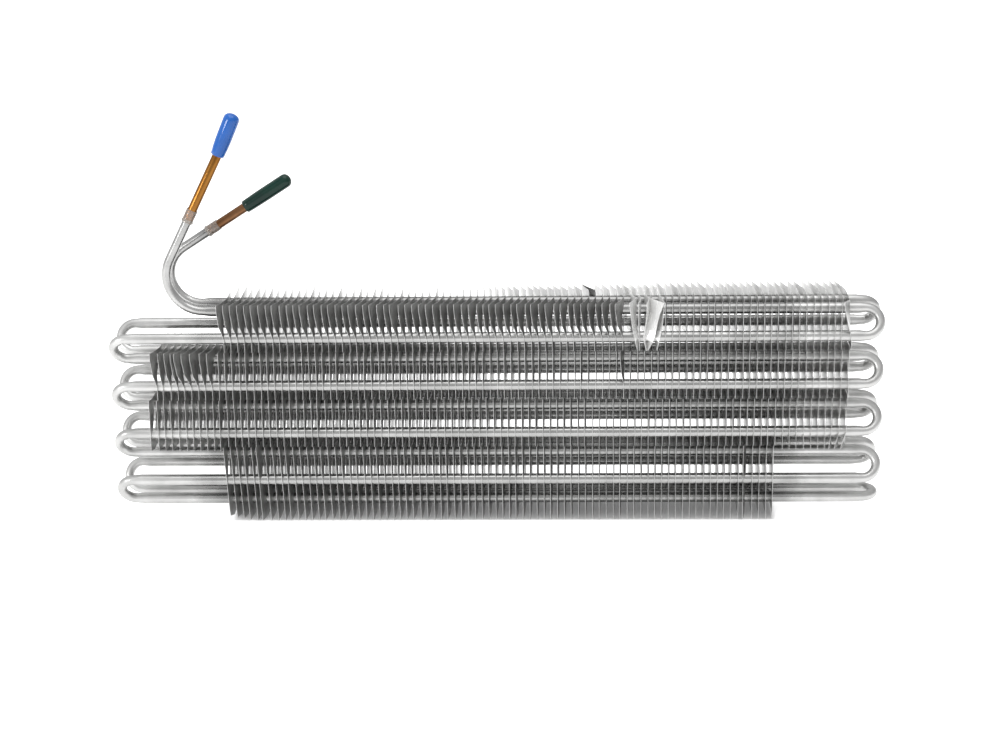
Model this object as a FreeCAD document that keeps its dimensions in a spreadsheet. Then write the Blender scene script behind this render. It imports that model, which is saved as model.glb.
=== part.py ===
"""Evaporator coil of a no-frost refrigerator, standing on its lowest fins.

One aluminium tube runs in nine levels, front and back, through four rows of slotted fins.
Its two free ends rise at the left into copper stubs, each closed by a push-on vinyl cap.
X runs along the passes, Y from front to back, Z up. The origin is on the floor, under the middle.
"""
import FreeCAD, Part
import Sketcher
import math
import os

Vector = FreeCAD.Vector
Placement = FreeCAD.Placement
Rotation = FreeCAD.Rotation

doc = FreeCAD.newDocument("evaporator_coil")

# Driving sizes, in millimetres and degrees
sheet = doc.addObject("Spreadsheet::Sheet", "sizes")
DRIVING = [
    ("level_pitch", 22.0),
    ("foot_height", 15.0),
    ("odd_half_gap", 12.7),
    ("even_half_gap", 25.4),
    ("tube_dia", 8.4),
    ("tube_wall", 0.7),
    ("tube_sides", 12),
    ("bend_steps", 6),
    ("pass_reach", 326.0),
    ("open_end_depth", 30.0),
    ("front_line_inset", 68.5),
    ("front_line_radius", 32.0),
    ("front_line_turn", 115.5),
    ("front_line_run", 41.0),
    ("rear_line_inset", 64.5),
    ("rear_line_radius", 28.0),
    ("rear_line_turn", 147.2),
    ("rear_line_run", 28.6),
    ("stub_dia", 8.4),
    ("stub_wall", 0.7),
    ("front_stub_out", 62.0),
    ("rear_stub_out", 40.5),
    ("stub_in_cap", 28.0),
    ("ring_sides", 16),
    ("sleeve_length", 12.0),
    ("sleeve_lap", 2.0),
    ("sleeve_wall", 0.5),
    ("sleeve_fit", 0.05),
    ("lip_width", 1.2),
    ("lip_height", 0.5),
    ("cap_wall", 1.2),
    ("cap_fit", 0.05),
    ("cap_crown", 4.5),
    ("cap_shoulder", 1.5),
    ("cap_tip_inset", 3.6),
    ("front_cap_length", 42.0),
    ("front_cap_swell", 0.8),
    ("rear_cap_length", 47.0),
    ("rear_cap_swell", 0.4),
    ("fin_gauge", 0.25),
    ("fin_margin", 3.4),
    ("row_seam", 0.5),
    ("slot_gap", 0.1),
    ("row_one_left_bare", 83.0),
    ("row_one_right_bare", 17.2),
    ("row_one_fins", 18),
    ("row_two_left_bare", 21.5),
    ("row_two_right_bare", 16.7),
    ("row_two_fins", 20),
    ("row_three_left_bare", 21.5),
    ("row_three_right_bare", 16.7),
    ("row_three_fins", 20),
    ("row_four_left_bare", 81.8),
    ("row_four_right_bare", 80.4),
    ("row_four_fins", 16),
    ("lean_run", 21.0),
    ("lean_drop", 22.0),
    ("lean_angle", 25.0),
    ("curl_run", 12.0),
    ("curl_drop", 16.0),
    ("curl_angle", 60.0),
    ("crush_depth", 16.0),
    ("crush_throw", 4.5),
    ("crush_pleats", 5),
    ("crush_gauge", 0.5),
    ("crush_pitch", 13.0),
    ("crush_shift", 13.0),
]
for row, (alias, number) in enumerate(DRIVING, start=1):
    sheet.set(f"A{row}", alias)
    sheet.set(f"B{row}", str(number))
    sheet.setAlias(f"B{row}", alias)
doc.recompute()


def size(alias):
    """Read one driving size."""
    return float(sheet.get(alias))


def count(alias):
    """Read one driving size that counts something."""
    return int(sheet.get(alias))


parts = []


def keep(thing, name):
    """Name a finished sub-part after its file and list it for export."""
    thing.Label = name
    parts.append(thing)


# Levels of tubes that each row of fins holds, from the top, and whether front joins rear below
ROWS = {
    "one": {"levels": (1, 2), "cross_slot": False},
    "two": {"levels": (3, 4), "cross_slot": False},
    "three": {"levels": (5, 6), "cross_slot": False},
    "four": {"levels": (7, 8, 9), "cross_slot": True},
}
LOWEST_LEVEL = ROWS["four"]["levels"][-1]

# Places of the tube's passes
SIDES = {"front": -1, "rear": 1}


def level_height(level):
    """Height of a level's tubes, counted from the top."""
    return size("foot_height") + (LOWEST_LEVEL - level) * size("level_pitch")


def pass_centre(level, side, along=0.0):
    """Centre of one pass: odd levels lie close together, even ones far apart."""
    half_gap = size("odd_half_gap") if level % 2 else size("even_half_gap")
    return Vector(along, SIDES[side] * half_gap, level_height(level))


# The tube

def line_arc(side):
    """Points of the free line's bend, from the level up to where the line runs straight."""
    radius = size(f"{side}_line_radius")
    turn = math.radians(size(f"{side}_line_turn"))
    start = pass_centre(1, side, size(f"{side}_line_inset") - size("pass_reach"))
    centre = start + Vector(0, 0, radius)
    steps = count("bend_steps")
    return [
        centre + Vector(-math.sin(turn * i / steps), 0, -math.cos(turn * i / steps)) * radius
        for i in range(steps + 1)
    ]


def line_direction(side):
    """Direction of a free line's straight end."""
    lean = math.radians(size(f"{side}_line_turn") - 90)
    return Vector(math.sin(lean), 0, math.cos(lean))


def line_end(side):
    """Where a free line meets its copper stub."""
    return line_arc(side)[-1] + line_direction(side) * size(f"{side}_line_run")


def return_bend(start, end, outward):
    """Points of a half circle that joins two passes, outward along X."""
    centre = (start + end) * 0.5
    arm = start - centre
    bulge = Vector(outward * arm.Length, 0, 0)
    steps = count("bend_steps")
    return [
        centre + arm * math.cos(math.pi * i / steps) + bulge * math.sin(math.pi * i / steps)
        for i in range(steps + 1)
    ]


def tube_route():
    """The tube's centre line, down the front, across below and up the back."""
    levels = range(1, LOWEST_LEVEL + 1)
    passes = [(level, "front") for level in levels]
    passes += [(level, "rear") for level in reversed(levels)]
    points = [line_end("front")] + line_arc("front")[::-1]
    outward = 1
    for (level, side), (next_level, next_side) in zip(passes, passes[1:]):
        along = outward * size("pass_reach")
        here = pass_centre(level, side, along)
        there = pass_centre(next_level, next_side, along)
        points += return_bend(here, there, outward)
        outward = -outward
    return points + line_arc("rear") + [line_end("rear")]


def make_tube():
    """Sweep the section along the route, then open both ends."""
    route = tube_route()
    path = doc.addObject("Part::Feature", "tube_path")
    path.Shape = Part.makePolygon(route)
    section = doc.addObject("Part::RegularPolygon", "tube_section")
    section.setExpression("Polygon", "sizes.tube_sides")
    section.setExpression("Circumradius", "sizes.tube_dia / 2")
    section.Placement = Placement(route[0], Rotation(Vector(0, 0, 1), route[1] - route[0]))
    sweep = doc.addObject("Part::Sweep", "tube_sweep")
    sweep.Sections = [section]
    sweep.Spine = (path, [f"Edge{i + 1}" for i in range(len(route) - 1)])
    sweep.Solid = True
    sweep.Transition = "Right corner"
    body = sweep
    for side in SIDES:
        bore = doc.addObject("Part::Prism", f"{side}_open_end")
        bore.setExpression("Polygon", "sizes.tube_sides")
        bore.setExpression("Circumradius", "sizes.tube_dia / 2 - sizes.tube_wall")
        bore.setExpression("Height", "sizes.open_end_depth")
        inward = Rotation(Vector(0, 0, 1), line_direction(side) * -1)
        bore.Placement = Placement(line_end(side), inward)
        opened = doc.addObject("Part::Cut", f"{side}_opened")
        opened.Base = body
        opened.Tool = bore
        body = opened
    keep(body, "serpentine_tube")


# The copper stubs, their joint sleeves and their caps

def origin_plane(body, role):
    """One of a body's own origin planes or axes."""
    return next(item for item in body.Origin.OriginFeatures if item.Role == role)


def new_sketch(body, role, name):
    """A sketch on one of the body's origin planes."""
    sketch = body.newObject("Sketcher::SketchObject", name)
    sketch.AttachmentSupport = [(origin_plane(body, role), "")]
    sketch.MapMode = "FlatFace"
    return sketch


def add_outline(sketch, points):
    """Close a run of points with straight lines."""
    for start, end in zip(points, points[1:] + points[:1]):
        sketch.addGeometry(Part.LineSegment(start, end), False)


def on_line(side, along):
    """Placement on a free line's axis, measured from the joint of aluminium and copper."""
    direction = line_direction(side)
    return Placement(line_end(side) + direction * along, Rotation(Vector(0, 0, 1), direction))


def make_stub(side):
    """Copper tube that carries on from the aluminium line's end into the cap."""
    name = f"{side}_copper_stub"
    body = doc.addObject("PartDesign::Body", name)
    section = new_sketch(body, "XY_Plane", f"{name}_section")
    outside = size("stub_dia")
    inside = outside - 2 * size("stub_wall")
    rounds = ((outside, "sizes.stub_dia"), (inside, "sizes.stub_dia - 2 * sizes.stub_wall"))
    for diameter, formula in rounds:
        edge = section.addGeometry(Part.Circle(Vector(), Vector(0, 0, 1), diameter / 2), False)
        section.addConstraint(Sketcher.Constraint("Coincident", edge, 3, -1, 1))
        width = section.addConstraint(Sketcher.Constraint("Diameter", edge, diameter))
        section.setExpression(f"Constraints[{width}]", formula)
    pipe = body.newObject("PartDesign::Pad", f"{name}_pipe")
    pipe.Profile = section
    pipe.setExpression("Length", f"sizes.{side}_stub_out + sizes.stub_in_cap")
    body.Tip = pipe
    body.Placement = on_line(side, 0)
    keep(body, name)


def corner_reach(radius):
    """Distance of a many-sided ring's corners from its axis, where its flats lie at the radius."""
    return radius / math.cos(math.pi / count("ring_sides"))


def ring_corners(radius, height):
    """Corners of one many-sided ring round the Z axis."""
    turn = 2 * math.pi / count("ring_sides")
    return [
        Vector(math.cos(turn * i), math.sin(turn * i), 0) * corner_reach(radius) + Vector(0, 0, height)
        for i in range(count("ring_sides"))
    ]


def stacked_rings(rings):
    """Solid with flat faces between rings of radius and height, closed at its two ends."""
    corners = [ring_corners(radius, height) for radius, height in rings]
    outlines = [corners[0][::-1], corners[-1]]
    for lower, upper in zip(corners, corners[1:]):
        for i in range(len(lower)):
            outlines.append([lower[i - 1], lower[i], upper[i], upper[i - 1]])
    faces = [Part.Face(Part.makePolygon(outline + outline[:1])) for outline in outlines]
    return Part.Solid(Part.makeShell(faces))


def make_ring(name, side, along, rings, bore_radius, bore_depth):
    """A many-sided sleeve or cap, bored from its foot."""
    outside = doc.addObject("Part::Feature", f"{name}_outside")
    outside.Shape = stacked_rings(rings)
    bore = doc.addObject("Part::Prism", f"{name}_bore")
    bore.setExpression("Polygon", "sizes.ring_sides")
    bore.Circumradius = corner_reach(bore_radius)
    bore.setExpression("Height", f"sizes.{bore_depth}")
    piece = doc.addObject("Part::Cut", name)
    piece.Base = outside
    piece.Tool = bore
    piece.Placement = on_line(side, along)
    keep(piece, name)


def make_sleeve(side):
    """Sleeve shrunk over the joint, with a raised lip where it laps the aluminium."""
    inner = max(size("tube_dia"), size("stub_dia")) / 2 + size("sleeve_fit")
    outer = inner + size("sleeve_wall")
    lip = outer + size("lip_height")
    length = size("sleeve_length")
    rings = [
        (lip, 0),
        (lip, size("lip_width")),
        (outer, size("lip_width") + size("lip_height")),
        (outer, length),
    ]
    make_ring(f"{side}_joint_sleeve", side, -size("sleeve_lap"), rings, inner, "sleeve_length")


def make_cap(side, name):
    """Push-on cap: a blind bore for the stub, a swell at mid length and a rounded crown."""
    inner = size("stub_dia") / 2 + size("cap_fit")
    mouth = inner + size("cap_wall")
    belly = mouth + size(f"{side}_cap_swell")
    length = size(f"{side}_cap_length")
    shoulder = size("cap_shoulder")
    rings = [
        (mouth, 0),
        (belly, length / 2),
        (belly, length - size("cap_crown")),
        (belly - shoulder, length - shoulder),
        (belly - size("cap_tip_inset"), length),
    ]
    make_ring(name, side, size(f"{side}_stub_out"), rings, inner, "stub_in_cap")


# The fins

def fin_half_depth():
    """Half the depth of the fins, a margin past the tubes that lie farthest apart."""
    return size("even_half_gap") + size("tube_dia") / 2 + size("fin_margin")


def row_top(row):
    """Upper edge of a row, half a level above its first tubes, less the seam."""
    return level_height(ROWS[row]["levels"][0]) + (size("level_pitch") - size("row_seam")) / 2


def row_bottom(row):
    """Lower edge of a row: the floor for the lowest one, else half a level below."""
    if ROWS[row]["cross_slot"]:
        return 0.0
    return level_height(ROWS[row]["levels"][-1]) - (size("level_pitch") - size("row_seam")) / 2


def in_fin(point):
    """A point of the model in a fin sketch, whose axes are Y and Z."""
    return Vector(point.y, point.z, 0)


# Each slot end is half a hexagon round its tube: three corners, from a corner of the hexagon on
HEXAGON_TURN = math.radians(60)
SLOT_END_CORNERS = {"first": (2, 3, 4), "second": (5, 6, 7)}


def slot_outline(first, second):
    """Slot round two tubes and the way between them, with six-sided ends that bear on the tubes."""
    along = (second - first).normalize()
    across = Vector(-along.y, along.x, 0)
    reach = (size("tube_dia") / 2 + size("slot_gap")) / math.cos(HEXAGON_TURN / 2)
    outline = []
    for centre, corners in ((first, SLOT_END_CORNERS["first"]), (second, SLOT_END_CORNERS["second"])):
        for corner in corners:
            angle = corner * HEXAGON_TURN
            outline.append(centre + (along * math.cos(angle) + across * math.sin(angle)) * reach)
    return outline


def row_slots(row):
    """All slots of a row's fin: one per return bend that the fin was pushed over."""
    levels = ROWS[row]["levels"]
    slots = [
        slot_outline(in_fin(pass_centre(levels[0], side)), in_fin(pass_centre(levels[1], side)))
        for side in SIDES
    ]
    if ROWS[row]["cross_slot"]:
        front, rear = (in_fin(pass_centre(levels[2], side)) for side in SIDES)
        slots.append(slot_outline(front, rear))
    return slots


# Side of the fin whose upper corner each kind of bend folds over
BENDS = {"lean": "front", "curl": "rear"}


def fin_outline(row, bends):
    """Fin outline, counter-clockwise from the front lower corner, without the bent corners."""
    half = fin_half_depth()
    top = row_top(row)
    corners = [Vector(-half, row_bottom(row), 0), Vector(half, row_bottom(row), 0)]
    if "curl" in bends:
        corners += [Vector(half, top - size("curl_drop"), 0), Vector(half - size("curl_run"), top, 0)]
    else:
        corners.append(Vector(half, top, 0))
    if "lean" in bends:
        corners += [Vector(size("lean_run") - half, top, 0), Vector(-half, top - size("lean_drop"), 0)]
    else:
        corners.append(Vector(-half, top, 0))
    return corners


def add_pad(body, sketch, name, thickness):
    """Sheet of the sketch's outline, half its thickness to each side of the sketch."""
    pad = body.newObject("PartDesign::Pad", name)
    pad.Profile = sketch
    pad.SideType = "Symmetric"
    pad.setExpression("Length", f"sizes.{thickness}")
    return pad


def add_bent_corner(body, row, bend):
    """An upper corner folded towards the left end along a slanting line."""
    sign = SIDES[BENDS[bend]]
    half = fin_half_depth()
    top = row_top(row)
    low = Vector(sign * half, top - size(f"{bend}_drop"), 0)
    high = Vector(sign * (half - size(f"{bend}_run")), top, 0)
    fold = Rotation((high - low).normalize(), sign * size(f"{bend}_angle"))
    sketch = new_sketch(body, "YZ_Plane", f"{body.Name}_{bend}_corner")
    sketch.AttachmentOffset = Placement(low - fold.multVec(low), fold)
    add_outline(sketch, [low, high, Vector(sign * half, top, 0)])
    return add_pad(body, sketch, f"{body.Name}_{bend}_flap", "fin_gauge")


def fin_spacing(row):
    """Formula for the distance from one fin to the next in a row."""
    span = f"2 * sizes.pass_reach - sizes.row_{row}_left_bare - sizes.row_{row}_right_bare"
    return f"({span}) / (sizes.row_{row}_fins - 1)"


def fin_place(row, index):
    """Formula for the place along the tubes of a row's fin, counted from 0 at the left."""
    return f"sizes.row_{row}_left_bare - sizes.pass_reach + {index} * {fin_spacing(row)}"


def fins_from(row, first):
    """Number of a row's fins from this one to the right end."""
    return count(f"row_{row}_fins") - first


def repeat(body, features, number, spacing):
    """Repeat a body's features along the tubes."""
    pattern = body.newObject("PartDesign::LinearPattern", f"{body.Name}_pattern")
    pattern.Originals = features
    pattern.Direction = (origin_plane(body, "X_Axis"), [""])
    pattern.Occurrences = number
    pattern.setExpression("Length", f"{number - 1} * {spacing}")
    body.Tip = pattern


def make_fins(name, row, first, number, bends=()):
    """Neighbouring fins of one row that share a form."""
    body = doc.addObject("PartDesign::Body", name)
    sketch = new_sketch(body, "YZ_Plane", f"{name}_outline")
    add_outline(sketch, fin_outline(row, bends))
    for slot in row_slots(row):
        add_outline(sketch, slot)
    features = [add_pad(body, sketch, f"{name}_sheet", "fin_gauge")]
    for bend in bends:
        features.append(add_bent_corner(body, row, bend))
    repeat(body, features, number, fin_spacing(row))
    body.setExpression("Placement.Base.x", fin_place(row, first))
    keep(body, name)


def crushed_outline():
    """Section from above of a fin whose front edge was pushed into pleats."""
    half = fin_half_depth()
    pleats = count("crush_pleats")
    centre = [Vector(0, half, 0)]
    for pleat in range(pleats, -1, -1):
        swing = (-1) ** pleat * (1 - pleat / pleats)
        centre.append(Vector(size("crush_throw") * swing, size("crush_depth") * pleat / pleats - half, 0))
    sheet_half = Vector(size("crush_gauge") / 2, 0, 0)
    return [point + sheet_half for point in centre] + [point - sheet_half for point in reversed(centre)]


def make_crushed_fins(name, row, place, number):
    """Fins pushed aside from one place in a row, their front edge pleated over the row's full height."""
    body = doc.addObject("PartDesign::Body", name)
    section = new_sketch(body, "XY_Plane", f"{name}_section")
    section.AttachmentOffset = Placement(Vector(0, 0, row_bottom(row)), Rotation())
    add_outline(section, crushed_outline())
    sheet_metal = body.newObject("PartDesign::Pad", f"{name}_sheet")
    sheet_metal.Profile = section
    levels = len(ROWS[row]["levels"])
    sheet_metal.setExpression("Length", f"{levels} * sizes.level_pitch - sizes.row_seam")
    slots = new_sketch(body, "YZ_Plane", f"{name}_slots")
    for slot in row_slots(row):
        add_outline(slots, slot)
    pocket = body.newObject("PartDesign::Pocket", f"{name}_pocket")
    pocket.Profile = slots
    pocket.SideType = "Symmetric"
    pocket.Type = "ThroughAll"
    repeat(body, [sheet_metal, pocket], number, "sizes.crush_pitch")
    first = f"{fin_place(row, place)} - sizes.crush_shift - {number - 1} * sizes.crush_pitch / 2"
    body.setExpression("Placement.Base.x", first)
    keep(body, name)


make_tube()
for line_side, cap_name in (("front", "blue_cap"), ("rear", "green_cap")):
    make_stub(line_side)
    make_sleeve(line_side)
    make_cap(line_side, cap_name)

make_fins("row_one_fins_left", "one", 0, 4, ["lean"])
make_fins("row_one_fins_inner_left", "one", 4, 4, ["lean"])
make_fins("row_one_fins_inner_right", "one", 8, 4, ["lean", "curl"])
make_crushed_fins("row_one_fins_crushed", "one", 12, 2)
make_fins("row_one_fins_right", "one", 13, fins_from("one", 13), ["curl"])
make_fins("row_two_fins_exposed", "two", 0, 2, ["lean"])
make_fins("row_two_fins_left", "two", 2, 6)
make_fins("row_two_fins_middle", "two", 8, 6)
make_fins("row_two_fins_right", "two", 14, fins_from("two", 14))
make_fins("row_three_fins_left", "three", 0, 7)
make_fins("row_three_fins_middle", "three", 7, 6)
make_fins("row_three_fins_right", "three", 13, fins_from("three", 13))
make_fins("row_four_fins_left", "four", 0, 5)
make_fins("row_four_fins_middle", "four", 5, 6)
make_fins("row_four_fins_right", "four", 11, fins_from("four", 11))

# Check and write
doc.recompute()
for thing in doc.Objects:
    if "Invalid" in thing.State or "Error" in thing.State:
        raise RuntimeError(f"{thing.Name} did not compute: {thing.State}")
for part in parts:
    if part.Shape.isNull() or not part.Shape.isValid():
        raise RuntimeError(f"{part.Label} has no valid shape")

os.makedirs("parts", exist_ok=True)
for part in parts:
    part.Shape.exportStep(f"parts/{part.Label}.step")
    print(part.Label, len(part.Shape.Solids), "solids", round(part.Shape.Volume, 1), "mm3")
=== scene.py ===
"""Looks of a no-frost refrigerator evaporator coil.

The tube, the stubs, sleeves and caps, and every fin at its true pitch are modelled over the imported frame.
Lengths are worked out in millimetres and turned to metres where they meet Blender.
"""
import math
import random
from types import SimpleNamespace

import bmesh
import bpy
from mathutils import Euler, Matrix, Vector


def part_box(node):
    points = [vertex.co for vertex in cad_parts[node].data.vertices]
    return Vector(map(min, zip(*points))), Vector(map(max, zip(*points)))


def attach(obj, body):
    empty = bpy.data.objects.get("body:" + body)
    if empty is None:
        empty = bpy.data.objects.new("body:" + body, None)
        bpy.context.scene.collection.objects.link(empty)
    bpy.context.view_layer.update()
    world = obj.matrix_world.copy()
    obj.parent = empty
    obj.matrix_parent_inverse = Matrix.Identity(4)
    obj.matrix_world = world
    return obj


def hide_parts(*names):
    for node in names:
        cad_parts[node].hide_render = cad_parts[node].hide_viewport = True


bl_info = {
    "name": "Evaporator coil",
    "version": (1, 0, 0),
    "blender": (4, 5, 0),
    "location": "View3D > Sidebar > Coil",
    "description": "Models a finned evaporator coil over its packed frame",
    "category": "Add Mesh",
}

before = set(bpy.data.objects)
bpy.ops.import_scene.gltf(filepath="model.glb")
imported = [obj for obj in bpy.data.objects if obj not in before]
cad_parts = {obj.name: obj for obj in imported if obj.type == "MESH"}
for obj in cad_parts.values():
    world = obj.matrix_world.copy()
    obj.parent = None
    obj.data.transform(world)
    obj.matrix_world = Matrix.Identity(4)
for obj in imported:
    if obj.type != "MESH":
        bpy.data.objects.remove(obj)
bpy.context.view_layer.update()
MM = 0.001
UP = Vector((0, 0, 1))
ALONG = Vector((1, 0, 0))
SIDES = {"front": -1, "rear": 1}

# Levels of tubes that each row of fins holds, and its nodes from left to right
ROWS = {
    "one": ((1, 2), ("left", "inner_left", "inner_right", "crushed", "right")),
    "two": ((3, 4), ("exposed", "left", "middle", "right")),
    "three": ((5, 6), ("left", "middle", "right")),
    "four": ((7, 8, 9), ("left", "middle", "right")),
}
LOWEST_LEVEL = ROWS["four"][0][-1]


# Sizes and colours that a user would change

def srgb(hex_colour):
    """Linear colour of an sRGB hex value."""
    channels = [int(hex_colour[i:i + 2], 16) / 255 for i in (0, 2, 4)]
    linear = [c / 12.92 if c <= 0.04045 else ((c + 0.055) / 1.055) ** 2.4 for c in channels]
    return (*linear, 1.0)


def length(name, description, millimetres):
    """Length kept in metres, with its default given in millimetres."""
    return bpy.props.FloatProperty(
        name=name, description=description, default=millimetres * MM, unit="LENGTH", precision=4
    )


def angle(name, description, degrees):
    """Angle with its default given in degrees."""
    return bpy.props.FloatProperty(
        name=name, description=description, default=math.radians(degrees), subtype="ANGLE"
    )


def number(name, description, default):
    """Count of something, at least one."""
    return bpy.props.IntProperty(name=name, description=description, default=default, min=1)


def colour(name, description, hex_colour):
    """Colour with its default given as an sRGB hex value."""
    return bpy.props.FloatVectorProperty(
        name=name,
        description=description,
        default=srgb(hex_colour),
        subtype="COLOR",
        size=4,
        min=0.0,
        max=1.0,
    )


def sizes_of(group):
    """Sizes of a group by name: lengths in millimetres, angles in radians."""
    sizes = {}
    for prop in group.bl_rna.properties:
        if prop.type in ("FLOAT", "INT"):
            value = getattr(group, prop.identifier)
            sizes[prop.identifier] = value / MM if prop.unit == "LENGTH" else value
    return SimpleNamespace(**sizes)


class CoilTube(bpy.types.PropertyGroup):
    """Sizes of the aluminium tube."""

    level_pitch: length("Level pitch", "Height from level to level", 22.0)
    foot_height: length("Foot height", "Lowest tubes above the floor", 15.0)
    odd_gap: length("Odd half gap", "Odd levels' distance from the middle", 12.7)
    even_gap: length("Even half gap", "Even levels' distance from the middle", 25.4)
    pass_reach: length("Pass reach", "Where the return bends start", 326.0)
    pass_width: length("Pass width", "Tube expanded into the fins", 9.9)
    line_width: length("Line width", "Tube as drawn, on the free lines", 8.2)
    bend_width: length("Bend width", "Tube in a bend, across its plane", 8.9)
    bend_flat: length("Bend flatness", "Tube in a bend, in its plane", 8.4)
    taper: length("Taper", "Length over which the tube widens", 6.0)
    segments: number("Segments", "Sides of the tube", 28)
    bend_steps: number("Bend steps", "Rings in a return bend", 14)
    front_start: length("Front line start", "Where the front line rises", -257.0)
    front_radius: length("Front line radius", "Radius of its bend", 32.0)
    front_turn: angle("Front line turn", "Turn of its bend", 116.6)
    front_run: length("Front line run", "Straight to the joint", 41.0)
    rear_start: length("Rear line start", "Where the rear line rises", -261.5)
    rear_radius: length("Rear line radius", "Radius of its bend", 28.0)
    rear_turn: angle("Rear line turn", "Turn of its bend", 147.2)
    rear_run: length("Rear line run", "Straight to the joint", 28.6)


class CoilEnds(bpy.types.PropertyGroup):
    """Sizes of the stubs, sleeves and caps."""

    stub_width: length("Stub width", "Outside of the copper stub", 8.3)
    front_out: length("Front stub", "Bare length up to its cap", 64.2)
    rear_out: length("Rear stub", "Bare length up to its cap", 39.0)
    in_cap: length("In cap", "Length of stub inside the cap", 28.0)
    sleeve_length: length("Sleeve", "Length of the joint sleeve", 12.0)
    sleeve_width: length("Sleeve width", "Outside of the sleeve", 9.8)
    front_cap: length("Blue cap", "Its length", 39.4)
    front_foot: length("Blue cap foot", "Radius at its open end", 6.3)
    front_belly: length("Blue cap belly", "Radius where it is widest", 7.1)
    front_askew: angle("Blue cap askew", "How far it sits off the line of its stub", -3.0)
    rear_cap: length("Green cap", "Its length", 48.4)
    rear_foot: length("Green cap foot", "Radius at its open end", 5.8)
    rear_belly: length("Green cap belly", "Radius where it is widest", 6.2)
    rear_askew: angle("Green cap askew", "How far it sits off the line of its stub", 0.0)


class CoilFins(bpy.types.PropertyGroup):
    """Sizes and numbers of the fins."""

    depth: length("Depth", "Front edge to rear edge", 65.7)
    gauge: length("Gauge", "Thickness of the foil", 0.24)
    seam: length("Seam", "Gap between rows", 0.5)
    one_start: length("Row one start", "Its first fin", -236.8)
    two_start: length("Row two start", "Its first fin", -298.4)
    three_start: length("Row three start", "Its first fin", -305.8)
    four_start: length("Row four start", "Its first fin", -240.2)
    one_end: length("Row one end", "Its last fin", 311.4)
    two_end: length("Row two end", "Its last fin", 311.6)
    three_end: length("Row three end", "Its last fin", 311.0)
    four_end: length("Row four end", "Its last fin", 247.4)
    one_count: number("Row one fins", "How many", 90)
    two_count: number("Row two fins", "How many", 100)
    three_count: number("Row three fins", "How many", 100)
    four_count: number("Row four fins", "How many", 80)


class CoilColours(bpy.types.PropertyGroup):
    """Colours of the finishes, each with its deeper and its paler clouds."""

    tube_deep: colour("Tube, deep", "Drawn aluminium", "AEAEAD")
    tube_pale: colour("Tube, pale", "Drawn aluminium", "C6C6C5")
    foil_deep: colour("Foil, deep", "Rolled fin foil", "BCBCBB")
    foil_pale: colour("Foil, pale", "Rolled fin foil", "D2D2D1")
    # Paler copy of the foil for the crushed fins: painted lighter for the light that their folds catch
    crushed_lit_deep: colour("Crushed foil, painted lit, deep", "Foil of the crushed fins", "E2E2E1")
    crushed_lit_pale: colour("Crushed foil, painted lit, pale", "Foil of the crushed fins", "F0F0EF")
    front_copper_deep: colour("Front stub, deep", "Bright copper", "825626")
    front_copper_pale: colour("Front stub, pale", "Bright copper", "946630")
    rear_copper_deep: colour("Rear stub, deep", "Browned copper", "64462E")
    rear_copper_pale: colour("Rear stub, pale", "Browned copper", "7C5A40")
    front_vinyl_deep: colour("Blue cap, deep", "Dipped vinyl", "0C56A8")
    front_vinyl_pale: colour("Blue cap, pale", "Dipped vinyl", "125EB6")
    rear_vinyl_deep: colour("Green cap, deep", "Dipped vinyl", "04241E")
    rear_vinyl_pale: colour("Green cap, pale", "Dipped vinyl", "083026")
    sleeve_deep: colour("Sleeve, deep", "Shrunk clear plastic", "C8BCB0")
    sleeve_pale: colour("Sleeve, pale", "Shrunk clear plastic", "E2DAD2")


# Materials

# Middle part of a noise, which holds nearly all of its values
NOISE_LOW = 0.3
NOISE_HIGH = 0.7
# Clouds that rolling, drawing and handling leave on metal are about two centimetres across
METAL_CLOUD_MM = 18.0
# Painted shade on the tube between the fins: it ends beyond the shortest row of fins, and is deepest on the
# inner tubes
FIN_SHADE_END_MM = (225, 275)
FIN_SHADE_INNER_MM = (14, 24)
FIN_SHADE_TONES = (0.5, 0.74)
# The free lines rise out of the top row, and are greyed above it
LINES_UP_MM = (198, 225)
LINES_TONE = 0.76
# The tube keeps the satin of its drawing where no fin was pushed over it
SATIN_MM = (235, 315)
SATIN = 0.2


def add_node(tree, kind, settings=None, inputs=None, links=None):
    """Add a node, set its properties and sockets, and link sockets from other nodes' outputs."""
    node = tree.nodes.new(kind)
    for name, value in (settings or {}).items():
        setattr(node, name, value)
    for name, value in (inputs or {}).items():
        node.inputs[name].default_value = value
    for name, output in (links or {}).items():
        tree.links.new(output, node.inputs[name])
    return node


def new_material(name):
    """A material with an empty node tree, its output and a point in Object coordinates."""
    material = bpy.data.materials.new(name)
    material.use_nodes = True
    tree = material.node_tree
    tree.nodes.clear()
    output = tree.nodes.new("ShaderNodeOutputMaterial")
    point = add_node(tree, "ShaderNodeTexCoord").outputs["Object"]
    return material, tree, output, point


def from_middle(tree, coordinate, reach_mm, tones):
    """A tone that changes between two distances from the middle plane of an axis."""
    away = add_node(tree, "ShaderNodeMath", {"operation": "ABSOLUTE"}, links={0: coordinate})
    tone = add_node(
        tree,
        "ShaderNodeMapRange",
        inputs={
            "From Min": reach_mm[0] * MM,
            "From Max": reach_mm[1] * MM,
            "To Min": tones[0],
            "To Max": tones[1],
        },
        links={"Value": away.outputs["Value"]},
    )
    return tone.outputs["Result"]


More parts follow.
